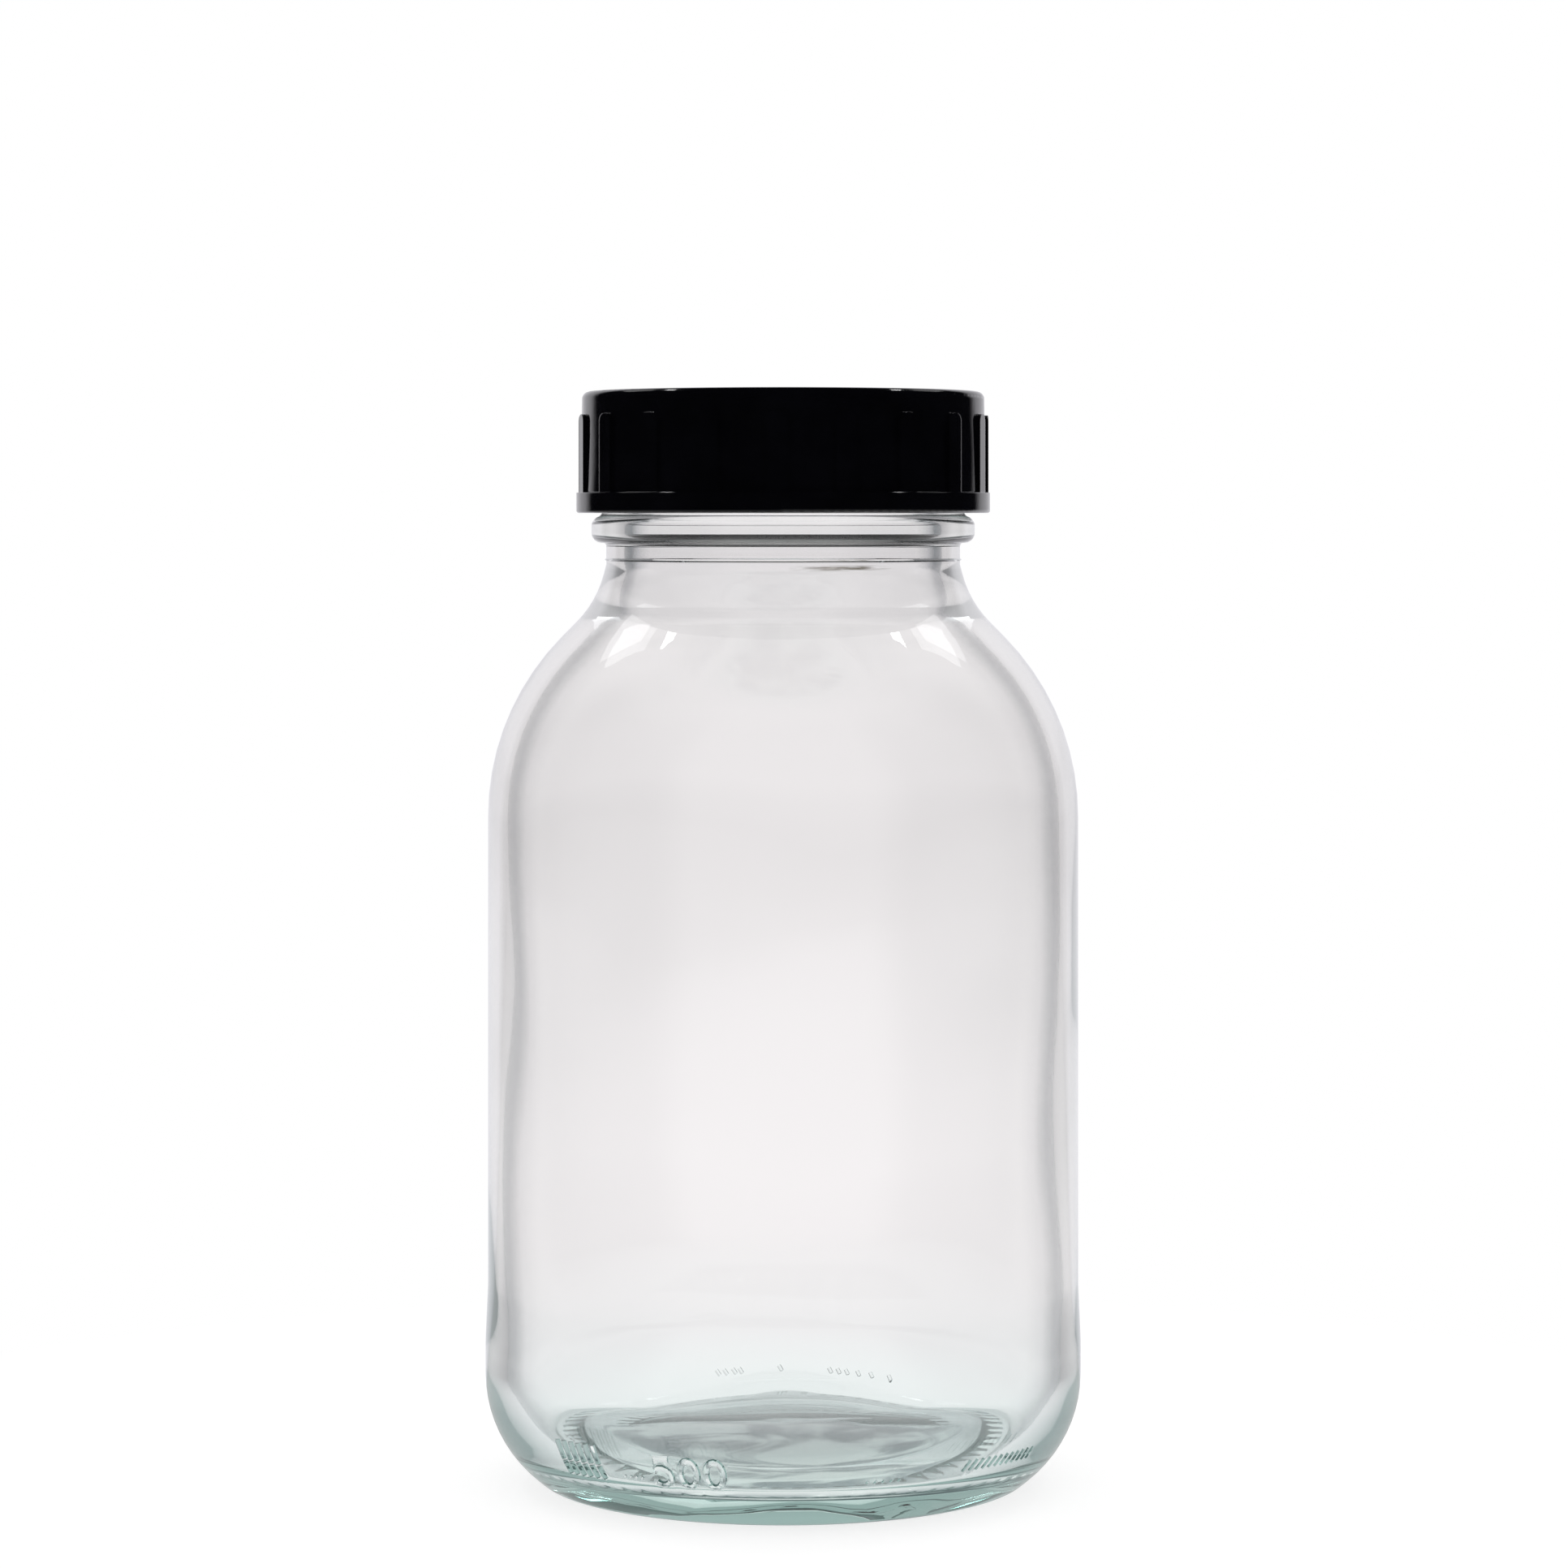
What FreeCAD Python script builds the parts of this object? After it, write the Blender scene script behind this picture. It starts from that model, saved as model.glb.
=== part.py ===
import FreeCAD, Part
import math
import os

import Sketcher

# Wide-mouth jar: a blown glass jar with an outside screw thread, a moulded screw cap with raised grip
# ribs, and the sealing disc that lies under the top of the cap. Millimetres, +Z up, -Y is the front.
# The origin is the centre of the ring that the jar stands on.

SIZES = (
    # Glass jar, body: its width and what is measured from it
    ("body_radius", 40.65, "straight wall of the body"),
    ("band_step", 0.35, "how far the contact band above the heel stands out from the wall"),
    ("heel_inset", 8.0, "contact band to where the heel cone would meet the table"),
    ("ring_width", 6.5, "from there to the inner edge of the standing ring"),
    ("wall", 2.6, "glass thickness of body and shoulder"),
    # Glass jar, finish: its width and what is measured from it
    ("finish_radius", 25.0, "outside of the finish, between the threads"),
    ("finish_wall", 3.1, "glass thickness of finish and neck"),
    ("thread_depth", 1.2, "height of the glass thread above the finish"),
    ("bead_projection", 1.43, "how far the bead stands out from the finish"),
    ("neck_step", 0.6, "how far the plain neck under the bead lies inside the finish"),
    ("neck_flare", 1.35, "how much the neck widens down to its corner with the shoulder"),
    # Glass jar, heights, each measured from the one before it
    ("heel_height", 6.5, "table to the corner of heel cone and band"),
    ("band_height", 13.0, "corner of the heel to the top of the band"),
    ("band_taper", 7.5, "top of the band to the straight wall"),
    ("panel_height", 78.7, "straight wall up to the corner of the shoulder"),
    ("shoulder_rise", 15.1, "corner of the shoulder to the corner of the neck"),
    ("neck_taper", 5.1, "corner of the neck to the mould's parting line"),
    ("neck_height", 3.0, "parting line to the underside of the bead"),
    ("bead_width", 3.7, "underside to top of the bead"),
    ("finish_height", 14.3, "top of the bead to the brim"),
    # Glass jar, roundings
    ("foot_rounding", 2.5, "outer edge of the standing ring"),
    ("heel_rounding", 17.5, "heel into the band"),
    ("band_rounding", 30.0, "both ends of the band's taper"),
    ("shoulder_rounding", 35.0, "wall into the shoulder"),
    ("neck_rounding", 14.5, "shoulder into the neck"),
    ("bead_rounding", 1.4, "both edges of the bead"),
    ("brim_outer_rounding", 0.9, "brim, outside"),
    ("brim_inner_rounding", 0.7, "brim, inside"),
    # Glass jar, inside and underside
    ("inner_shoulder_drop", 1.07, "how far the inner corner of the shoulder lies below the outer one"),
    ("inner_neck_rounding", 9.0, "shoulder into the neck, inside"),
    ("inner_heel_rounding", 9.0, "wall into the floor, inside"),
    ("floor_height", 5.4, "table to the edge of the floor inside"),
    ("floor_crown", 0.8, "rise of the floor towards its middle"),
    ("floor_edge_inset", 11.0, "inner wall to the foot of the floor's crown"),
    ("floor_flat_radius", 13.0, "level middle of the floor"),
    ("floor_rounding", 90.0, "level middle into the slope of the floor"),
    ("push_up_height", 3.0, "height of the hollow underside at its middle"),
    ("push_up_flat_radius", 12.0, "level middle of the hollow underside"),
    ("push_up_rounding", 60.0, "level middle into the slope of the underside"),
    ("push_up_edge_rounding", 4.0, "inner edge of the standing ring"),
    # Screw thread, shared by glass and cap
    ("thread_pitch", 4.2, "rise for each turn, right hand, one start"),
    ("thread_root_width", 2.2, "width of each ridge where it leaves its wall"),
    ("thread_crest_width", 1.0, "width of each ridge at its crest"),
    ("thread_clearance", 0.35, "crest of each ridge to the wall it faces"),
    ("flank_clearance", 0.3, "glass ridge to the cap ridge that pulls on it from below"),
    ("thread_bond", 0.3, "how deep each ridge is rooted in its own wall"),
    ("glass_thread_drop", 2.4, "brim to the middle of the ridge at its upper end"),
    ("glass_thread_turns", 1.5, "length of the glass ridge"),
    ("cap_thread_turns", 1.25, "length of the cap ridge"),
    ("cap_run_out_radius", 15.0, "curve that the cap ridge fades into its wall along, at both ends"),
    # Screw cap
    ("cap_wall", 1.4, "thickness of the cap's wall, just above the flange"),
    ("cap_draft", 0.23, "how much the wall narrows up to the top face"),
    ("cap_top_thickness", 1.8, "disc that closes the cap"),
    ("crown_rounding", 1.0, "top edge of the cap"),
    ("skirt_gap", 0.4, "top of the bead to the skirt of the tight cap"),
    ("flange_projection", 0.58, "how far the plain ring at the foot stands out from the wall"),
    ("flange_height", 2.8, "height of that ring"),
    ("flange_rounding", 0.35, "lower edge of that ring"),
    ("lead_in", 0.5, "bevel at the open end of the cap"),
    ("rib_count", 19, "grip ribs around the cap"),
    ("rib_projection", 0.35, "how far a grip rib stands out from the wall"),
    ("rib_width", 3.0, "width of a grip rib"),
    ("rib_top_drop", 3.2, "top face to the rounded top of a rib"),
    ("rib_top_rounding", 1.1, "corners of a rib's top, seen from the front"),
    ("rib_root_depth", 0.6, "how deep a rib is rooted in the wall"),
    ("closed_turn", -1.7, "degrees that the cap is turned when it is tight"),
    # Sealing disc and the small ring that keeps it in the cap
    ("disc_thickness", 1.0, "sealing disc"),
    ("disc_clearance", 0.25, "edge of the disc to the wall of the cap"),
    ("keeper_projection", 0.6, "keeper ring out of the wall of the cap"),
    ("keeper_width", 0.5, "height of the keeper ring at its crest"),
    ("keeper_clearance", 0.3, "disc to the keeper ring below it"),
)


class Length:
    """A size that carries its number together with the sheet formula that gives it."""

    def __init__(self, value, formula):
        self.value = value
        self.formula = formula

    def join(self, sign, other, value):
        text = other.formula if isinstance(other, Length) else repr(other)
        return Length(value, f"({self.formula} {sign} {text})")

    def __add__(self, other):
        return self.join("+", other, self.value + number(other))

    def __sub__(self, other):
        return self.join("-", other, self.value - number(other))

    def __mul__(self, other):
        return self.join("*", other, self.value * number(other))

    def __truediv__(self, other):
        return self.join("/", other, self.value / number(other))


def number(size):
    return size.value if isinstance(size, Length) else float(size)


def bind(feature, prop, size):
    """Tie a property to its formula in the sheet."""
    feature.setExpression(prop, size.formula)


def make_sheet(doc):
    sheet = doc.addObject("Spreadsheet::Sheet", "sizes")
    for row, (name, value, meaning) in enumerate(SIZES, start=1):
        sheet.set(f"A{row}", meaning)
        sheet.set(f"B{row}", str(value))
        sheet.setAlias(f"B{row}", name)
    doc.recompute()
    return {name: Length(float(sheet.get(name)), f"sizes.{name}") for name, value, meaning in SIZES}


def origin_feature(body, role):
    return next(item for item in body.Origin.OriginFeatures if item.Role == role)


def new_body(doc, name):
    body = doc.addObject("PartDesign::Body", name)
    body.Label = name
    return body


def new_sketch(body, name, role, lift=None):
    """A sketch on one of the body's own origin planes, moved along its normal by lift."""
    sketch = body.newObject("Sketcher::SketchObject", name)
    sketch.AttachmentSupport = (origin_feature(body, role), [""])
    sketch.MapMode = "FlatFace"
    if lift is not None:
        bind(sketch, "AttachmentOffset.Base.z", lift)
    return sketch


def fix_point(sketch, point, across, up):
    """Hold a construction point at its two distances from the sketch's origin."""
    for size, kind, axis in ((across, "DistanceX", -2), (up, "DistanceY", -1)):
        if number(size) == 0.0:
            sketch.addConstraint(Sketcher.Constraint("PointOnObject", point, 1, axis))
            continue
        index = sketch.addConstraint(Sketcher.Constraint(kind, -1, 1, point, 1, number(size)))
        if isinstance(size, Length):
            sketch.setExpression(f"Constraints[{index}]", size.formula)


def draw_outline(sketch, corners):
    """Closed outline of straight runs through corners (across, up, rounding); rounding may be None."""
    places = [FreeCAD.Vector(number(across), number(up), 0) for across, up, rounding in corners]
    count = len(corners)
    runs = [(places[(i + 1) % count] - places[i]).normalize() for i in range(count)]
    entry = list(places)
    leave = list(places)
    arcs = {}
    for i, (across, up, rounding) in enumerate(corners):
        if rounding is None:
            continue
        before, after = runs[i - 1], runs[i]
        turn = before.getAngle(after)
        radius = number(rounding)
        reach = radius * math.tan(turn / 2)
        entry[i] = places[i] - before * reach
        leave[i] = places[i] + after * reach
        side = 1 if before.cross(after).z > 0 else -1
        centre = entry[i] + FreeCAD.Vector(-before.y, before.x, 0) * (side * radius)
        first, last = (entry[i], leave[i]) if side > 0 else (leave[i], entry[i])
        circle = Part.Circle(centre, FreeCAD.Vector(0, 0, 1), radius)
        arcs[i] = (Part.ArcOfCircle(circle, circle.parameter(first), circle.parameter(last)), side)
    lines = []
    for i in range(count):
        segment = Part.LineSegment(leave[i], entry[(i + 1) % count])
        lines.append(sketch.addGeometry(segment, False))
    for i, (across, up, rounding) in enumerate(corners):
        point = sketch.addGeometry(Part.Point(places[i]), True)
        fix_point(sketch, point, across, up)
        line_in, line_out = lines[i - 1], lines[i]
        if rounding is None:
            sketch.addConstraint(Sketcher.Constraint("Coincident", line_in, 2, point, 1))
            sketch.addConstraint(Sketcher.Constraint("Coincident", line_out, 1, point, 1))
            continue
        curve, side = arcs[i]
        arc = sketch.addGeometry(curve, False)
        begin, finish = (1, 2) if side > 0 else (2, 1)
        sketch.addConstraint(Sketcher.Constraint("PointOnObject", point, 1, line_in))
        sketch.addConstraint(Sketcher.Constraint("PointOnObject", point, 1, line_out))
        sketch.addConstraint(Sketcher.Constraint("Tangent", line_in, 2, arc, begin))
        sketch.addConstraint(Sketcher.Constraint("Tangent", arc, finish, line_out, 1))
        index = sketch.addConstraint(Sketcher.Constraint("Radius", arc, number(rounding)))
        sketch.setExpression(f"Constraints[{index}]", rounding.formula)


def revolve(body, name, sketch):
    turned = body.newObject("PartDesign::Revolution", name)
    turned.Profile = sketch
    turned.ReferenceAxis = (sketch, ["V_Axis"])
    turned.Angle = 360
    return turned


def add_ridge(body, name, sketch, pitch, turns):
    """Sweep a ridge section up a right-hand helix about the Z axis."""
    ridge = body.newObject("PartDesign::AdditiveHelix", name)
    ridge.Profile = sketch
    ridge.ReferenceAxis = (sketch, ["V_Axis"])
    ridge.Mode = "pitch-turns-angle"
    ridge.Angle = 0
    ridge.LeftHanded = False
    ridge.Reversed = False
    bind(ridge, "Pitch", pitch)
    bind(ridge, "Turns", turns)
    return ridge


def jar_heights(size):
    """Heights above the table, added up from the foot to the brim, and the seat of the cap."""
    steps = ("heel_height", "band_height", "band_taper", "panel_height", "shoulder_rise",
             "neck_taper", "neck_height", "bead_width", "finish_height")
    names = ("heel", "band_top", "panel_foot", "shoulder", "neck_corner",
             "parting", "bead_foot", "bead_top", "brim")
    heights = {}
    level = None
    for name, step in zip(names, steps):
        level = size[step] if level is None else level + size[step]
        heights[name] = level
    heights["skirt"] = heights["bead_top"] + size["skirt_gap"]
    thread_rise = size["thread_pitch"] * size["glass_thread_turns"]
    heights["thread_top"] = heights["brim"] - size["glass_thread_drop"]
    heights["thread_foot"] = heights["thread_top"] - thread_rise
    return heights


def derived_radii(size):
    """Radii that follow from the body's and the finish's own."""
    radius = {}
    radius["band"] = size["body_radius"] + size["band_step"]
    radius["foot_corner"] = radius["band"] - size["heel_inset"]
    radius["push_up"] = radius["foot_corner"] - size["ring_width"]
    radius["inner_wall"] = size["body_radius"] - size["wall"]
    radius["floor_edge"] = radius["inner_wall"] - size["floor_edge_inset"]
    radius["mouth"] = size["finish_radius"] - size["finish_wall"]
    radius["thread"] = size["finish_radius"] + size["thread_depth"]
    radius["bead"] = size["finish_radius"] + size["bead_projection"]
    radius["neck"] = size["finish_radius"] - size["neck_step"]
    radius["neck_corner"] = radius["neck"] + size["neck_flare"]
    radius["cap_bore"] = radius["thread"] + size["thread_clearance"]
    radius["cap_thread"] = size["finish_radius"] + size["thread_clearance"]
    radius["cap_outside"] = radius["cap_bore"] + size["cap_wall"]
    radius["cap_top"] = radius["cap_outside"] - size["cap_draft"]
    radius["flange"] = radius["cap_outside"] + size["flange_projection"]
    radius["rib"] = radius["cap_outside"] + size["rib_projection"]
    radius["disc"] = radius["cap_bore"] - size["disc_clearance"]
    radius["keeper"] = radius["cap_bore"] - size["keeper_projection"]
    return radius


def jar_section(size, radius, height):
    """Corners of the glass wall: up the outside to the brim, down the inside and across the floor."""
    shoulder_width = size["body_radius"] - radius["neck_corner"]
    inner_shoulder = height["shoulder"] - size["inner_shoulder_drop"]
    inner_width = radius["inner_wall"] - radius["mouth"]
    inner_neck = inner_shoulder + inner_width * (size["shoulder_rise"] / shoulder_width)
    crown = size["floor_height"] + size["floor_crown"]
    outside = [
        (0, size["push_up_height"], None),
        (size["push_up_flat_radius"], size["push_up_height"], size["push_up_rounding"]),
        (radius["push_up"], 0, size["push_up_edge_rounding"]),
        (radius["foot_corner"], 0, size["foot_rounding"]),
        (radius["band"], height["heel"], size["heel_rounding"]),
        (radius["band"], height["band_top"], size["band_rounding"]),
        (size["body_radius"], height["panel_foot"], size["band_rounding"]),
        (size["body_radius"], height["shoulder"], size["shoulder_rounding"]),
        (radius["neck_corner"], height["neck_corner"], size["neck_rounding"]),
        (radius["neck"], height["parting"], None),
        (radius["neck"], height["bead_foot"], None),
        (radius["bead"], height["bead_foot"], size["bead_rounding"]),
        (radius["bead"], height["bead_top"], size["bead_rounding"]),
        (size["finish_radius"], height["bead_top"], None),
        (size["finish_radius"], height["brim"], size["brim_outer_rounding"]),
    ]
    inside = [
        (radius["mouth"], height["brim"], size["brim_inner_rounding"]),
        (radius["mouth"], inner_neck, size["inner_neck_rounding"]),
        (radius["inner_wall"], inner_shoulder, size["shoulder_rounding"] - size["wall"]),
        (radius["inner_wall"], size["floor_height"], size["inner_heel_rounding"]),
        (radius["floor_edge"], size["floor_height"], None),
        (size["floor_flat_radius"], crown, size["floor_rounding"]),
        (0, crown, None),
    ]
    return outside + inside


def ridge_section(size, wall, crest, middle):
    """Section of a thread ridge on its wall; crest may lie outside the wall or inside it."""
    half_root = size["thread_root_width"] / 2
    half_crest = size["thread_crest_width"] / 2
    return [
        (wall, middle - half_root, None),
        (crest, middle - half_crest, None),
        (crest, middle + half_crest, None),
        (wall, middle + half_root, None),
    ]


def fade_glass_ridge(body, size, radius, height):
    """Cut both ends of the glass ridge by planes that touch the finish, so that it rises slowly out of it."""
    reach = size["thread_pitch"] / 3
    outer = radius["thread"] + size["thread_bond"]
    for name, side, middle in (("lower", 1, height["thread_foot"]), ("upper", -1, height["thread_top"])):
        sketch = new_sketch(body, f"{name}_fade_section", "XZ_Plane")
        draw_outline(sketch, [
            (size["finish_radius"] * side, middle - reach, None),
            (outer * side, middle - reach, None),
            (outer * side, middle + reach, None),
            (size["finish_radius"] * side, middle + reach, None),
        ])
        fade = body.newObject("PartDesign::Pocket", f"{name}_fade")
        fade.Profile = sketch
        fade.Midplane = True
        bind(fade, "Length", radius["thread"])


def build_jar(doc, size, radius, height):
    body = new_body(doc, "jar")
    section = new_sketch(body, "glass_section", "XZ_Plane")
    draw_outline(section, jar_section(size, radius, height))
    revolve(body, "blown_wall", section)
    ridge = new_sketch(body, "glass_ridge_section", "XZ_Plane")
    root = size["finish_radius"] - size["thread_bond"]
    draw_outline(ridge, ridge_section(size, root, radius["thread"], height["thread_foot"]))
    add_ridge(body, "glass_thread", ridge, size["thread_pitch"], size["glass_thread_turns"])
    fade_glass_ridge(body, size, radius, height)
    return body


def cap_section(size, radius, height):
    """Corners of the cap's wall and top, measured from the open end of its skirt."""
    under_top = height["brim"] - height["skirt"] + size["disc_thickness"]
    top = under_top + size["cap_top_thickness"]
    keeper_top = under_top - size["disc_thickness"] - size["keeper_clearance"]
    keeper_foot = keeper_top - size["keeper_width"]
    return [
        (0, top, None),
        (0, under_top, None),
        (radius["cap_bore"], under_top, None),
        (radius["cap_bore"], keeper_top, None),
        (radius["keeper"], keeper_top, None),
        (radius["keeper"], keeper_foot, None),
        (radius["cap_bore"], keeper_foot - size["keeper_projection"], None),
        (radius["cap_bore"], size["lead_in"], None),
        (radius["cap_bore"] + size["lead_in"], 0, None),
        (radius["flange"], 0, size["flange_rounding"]),
        (radius["flange"], size["flange_height"], None),
        (radius["cap_outside"], size["flange_height"], None),
        (radius["cap_top"], top, size["crown_rounding"]),
    ]


def cap_height(size, height):
    """Skirt to top face: the cap spans the finish, its disc and its own top."""
    return height["brim"] - height["skirt"] + size["disc_thickness"] + size["cap_top_thickness"]


def cap_ridge_foot(size, height):
    """Middle of the cap ridge at its start, just under the glass ridge and clear of it."""
    wide, narrow = size["thread_root_width"], size["thread_crest_width"]
    slope = (wide - narrow) / (size["thread_depth"] + size["thread_bond"])
    both_ridges = wide + narrow - slope * (size["thread_clearance"] + size["thread_bond"])
    below = both_ridges / 2 + size["flank_clearance"]
    return height["thread_foot"] - below - height["skirt"]


def draw_circle(sketch, across, up, size):
    """A circle with its centre on one of the sketch's axes."""
    centre = FreeCAD.Vector(number(across), number(up), 0)
    circle = sketch.addGeometry(Part.Circle(centre, FreeCAD.Vector(0, 0, 1), number(size)), False)
    for place, kind, axis in ((across, "DistanceX", -2), (up, "DistanceY", -1)):
        if number(place) == 0.0:
            sketch.addConstraint(Sketcher.Constraint("PointOnObject", circle, 3, axis))
            continue
        index = sketch.addConstraint(Sketcher.Constraint(kind, -1, 1, circle, 3, number(place)))
        sketch.setExpression(f"Constraints[{index}]", place.formula)
    index = sketch.addConstraint(Sketcher.Constraint("Radius", circle, number(size)))
    sketch.setExpression(f"Constraints[{index}]", size.formula)


def fade_cap_ridge(body, size, radius, height):
    """Cut both ends of the cap ridge by curves that touch its wall, so that it rises slowly out of it."""
    reach = size["thread_pitch"] / 3
    offset = radius["cap_bore"] - size["cap_run_out_radius"]
    foot = cap_ridge_foot(size, height)
    top = foot + size["thread_pitch"] * size["cap_thread_turns"]
    for name, across, up, middle in (("lower", offset, 0, foot), ("upper", 0, offset, top)):
        sketch = new_sketch(body, f"{name}_fade_section", "XY_Plane", middle)
        draw_circle(sketch, across, up, size["cap_run_out_radius"])
        fade = body.newObject("PartDesign::Pocket", f"{name}_fade")
        fade.Profile = sketch
        fade.Midplane = True
        bind(fade, "Length", reach * 2)


def build_cap(doc, size, radius, height):
    body = new_body(doc, "screw_cap")
    section = new_sketch(body, "cap_section", "XZ_Plane")
    draw_outline(section, cap_section(size, radius, height))
    revolve(body, "cap_wall", section)

    front = new_sketch(body, "rib_front", "XZ_Plane", radius["cap_outside"] - size["rib_root_depth"])
    half_width = size["rib_width"] / 2
    foot = size["flange_height"] / 2
    rib_top = cap_height(size, height) - size["rib_top_drop"]
    draw_outline(front, [
        (half_width * -1, foot, None),
        (half_width, foot, None),
        (half_width, rib_top, size["rib_top_rounding"]),
        (half_width * -1, rib_top, size["rib_top_rounding"]),
    ])
    rib = body.newObject("PartDesign::Pad", "rib")
    rib.Profile = front
    bind(rib, "Length", size["rib_projection"] + size["rib_root_depth"])
    doc.recompute()

    ribs = body.newObject("PartDesign::PolarPattern", "ribs")
    ribs.Originals = [rib]
    ribs.Axis = (origin_feature(body, "Z_Axis"), [""])
    ribs.Angle = 360
    bind(ribs, "Occurrences", size["rib_count"])
    body.Tip = ribs
    doc.recompute()

    ridge = new_sketch(body, "cap_ridge_section", "XZ_Plane")
    root = radius["cap_bore"] + size["thread_bond"]
    draw_outline(ridge, ridge_section(size, root, radius["cap_thread"], cap_ridge_foot(size, height)))
    add_ridge(body, "cap_thread", ridge, size["thread_pitch"], size["cap_thread_turns"])
    fade_cap_ridge(body, size, radius, height)

    bind(body, "Placement.Base.z", height["skirt"])
    bind(body, "Placement.Rotation.Angle", size["closed_turn"])
    return body


def build_disc(doc, size, radius, height):
    body = new_body(doc, "cap_liner")
    section = new_sketch(body, "disc_section", "XZ_Plane")
    draw_outline(section, [
        (0, 0, None),
        (radius["disc"], 0, None),
        (radius["disc"], size["disc_thickness"], None),
        (0, size["disc_thickness"], None),
    ])
    revolve(body, "disc", section)
    bind(body, "Placement.Base.z", height["brim"])
    return body


def check_document(doc):
    for item in doc.Objects:
        for word in ("Invalid", "Error"):
            if word in item.State:
                raise RuntimeError(f"{item.Name} is {word}")


def save_parts(bodies):
    os.makedirs("parts", exist_ok=True)
    for body in bodies:
        shape = body.Shape
        if shape.isNull() or not shape.isValid():
            raise RuntimeError(f"{body.Label} has no valid shape")
        shape.exportStep(f"parts/{body.Label}.step")
        print(body.Label, len(shape.Solids), "solid", round(shape.Volume, 1), "mm3", shape.BoundBox)


def main():
    doc = FreeCAD.newDocument("wide_mouth_jar")
    size = make_sheet(doc)
    radius = derived_radii(size)
    height = jar_heights(size)
    bodies = [
        build_jar(doc, size, radius, height),
        build_cap(doc, size, radius, height),
        build_disc(doc, size, radius, height),
    ]
    doc.recompute()
    check_document(doc)
    save_parts(bodies)


main()
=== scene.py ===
import math

import bpy
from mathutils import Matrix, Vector


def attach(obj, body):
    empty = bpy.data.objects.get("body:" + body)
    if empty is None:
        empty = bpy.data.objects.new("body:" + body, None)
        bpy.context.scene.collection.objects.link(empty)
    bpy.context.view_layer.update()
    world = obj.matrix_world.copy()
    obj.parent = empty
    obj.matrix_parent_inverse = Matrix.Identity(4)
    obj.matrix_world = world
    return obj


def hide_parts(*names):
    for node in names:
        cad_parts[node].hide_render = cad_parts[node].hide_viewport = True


# Dresses the wide-mouth jar: the blown glass with its moulded marks, the glossy black screw cap and its
# sealing disc. Shapes are worked out in millimetres and made in metres; finishes and studio are in metres
# where no MM stands by.

MM = 0.001

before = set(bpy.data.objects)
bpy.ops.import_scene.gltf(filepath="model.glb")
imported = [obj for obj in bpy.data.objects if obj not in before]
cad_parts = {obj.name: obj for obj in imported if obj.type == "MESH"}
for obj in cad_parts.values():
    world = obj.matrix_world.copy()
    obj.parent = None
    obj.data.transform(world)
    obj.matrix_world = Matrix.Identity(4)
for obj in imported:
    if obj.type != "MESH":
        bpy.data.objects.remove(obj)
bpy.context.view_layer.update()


# Section of the glass, as corners (radius, height, rounding). The outside has the solid's corners. Inside, the
# glass is a little thinner at the heel and thicker in the middle of the floor than in the solid.

OUTSIDE = (
    (12.0, 3.0, 60.0),
    (26.5, 0.0, 4.0),
    (27.5, 0.0, 0.0),
    (28.1, 0.0, 0.0),
    (30.7, 0.0, 0.0),
    (31.3, 0.0, 0.0),
    (33.0, 0.0, 2.5),
    (41.0, 6.5, 17.5),
    (41.0, 19.5, 30.0),
    (40.65, 27.0, 30.0),
    (40.65, 105.7, 35.0),
    (25.75, 120.8, 14.5),
    (24.4, 125.9, 0.0),
    (24.4, 126.4, 0.0),
    (24.62, 126.6, 0.0),
    (24.4, 126.8, 0.0),
    (24.4, 128.9, 0.5),
    (26.43, 128.9, 1.4),
    (26.43, 132.6, 1.4),
    (25.0, 132.6, 0.5),
    (25.0, 146.9, 0.9),
)
INSIDE = (
    (21.9, 146.9, 0.7),
    (21.9, 120.99, 9.0),
    (38.05, 104.63, 32.4),
    (38.05, 11.2, 14.0),
    (32.6, 4.1, 4.2),
    (26.5, 6.7, 9.0),
    (13.0, 7.5, 60.0),
)
PUSH_UP, FLOOR_CROWN = 3.0, 7.6     # heights on the axis, of the hollow underside and of the inner floor
COLUMNS = 320                       # faces around the jar
ARC_STEP = 5.0                      # degrees between two points of a rounded corner
LONGEST_RUN = 4.0                   # straight stretches of the section are divided down to this
DOUBLES = 1e-6                      # metres: points nearer than this are merged
SMOOTH_BELOW = 35                   # degrees: edges sharper than this stay sharp


def deselect():
    bpy.ops.object.select_all(action="DESELECT")


def only(piece):
    deselect()
    piece.select_set(True)
    bpy.context.view_layer.objects.active = piece


def rounded_run(corners):
    """Points (radius, height) along straight runs with rounded corners."""
    points = [corners[0][:2]]
    for before, corner, after in zip(corners, corners[1:], corners[2:]):
        here, rounding = Vector(corner[:2]), corner[2]
        came = (here - Vector(before[:2])).normalized()
        goes = (Vector(after[:2]) - here).normalized()
        turn = came.angle_signed(goes)
        if rounding == 0.0 or abs(turn) < 1e-6:
            points.append(tuple(here))
            continue
        start = here - came * (rounding * math.tan(abs(turn) / 2))
        side = Vector((came.y, -came.x)) if turn > 0 else Vector((-came.y, came.x))
        centre = start + side * rounding
        count = max(2, round(math.degrees(abs(turn)) / ARC_STEP))
        arm = start - centre
        for i in range(count + 1):
            angle = -turn * i / count
            turned = Vector((arm.x * math.cos(angle) - arm.y * math.sin(angle),
                             arm.x * math.sin(angle) + arm.y * math.cos(angle)))
            points.append(tuple(centre + turned))
    points.append(corners[-1][:2])
    return points


def split_long(points):
    """The same run with its long straight stretches divided."""
    out = [points[0]]
    for a, b in zip(points, points[1:]):
        a, b = Vector(a), Vector(b)
        count = max(1, math.ceil((b - a).length / LONGEST_RUN))
        for i in range(1, count + 1):
            out.append(tuple(a.lerp(b, i / count)))
    return out


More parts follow.
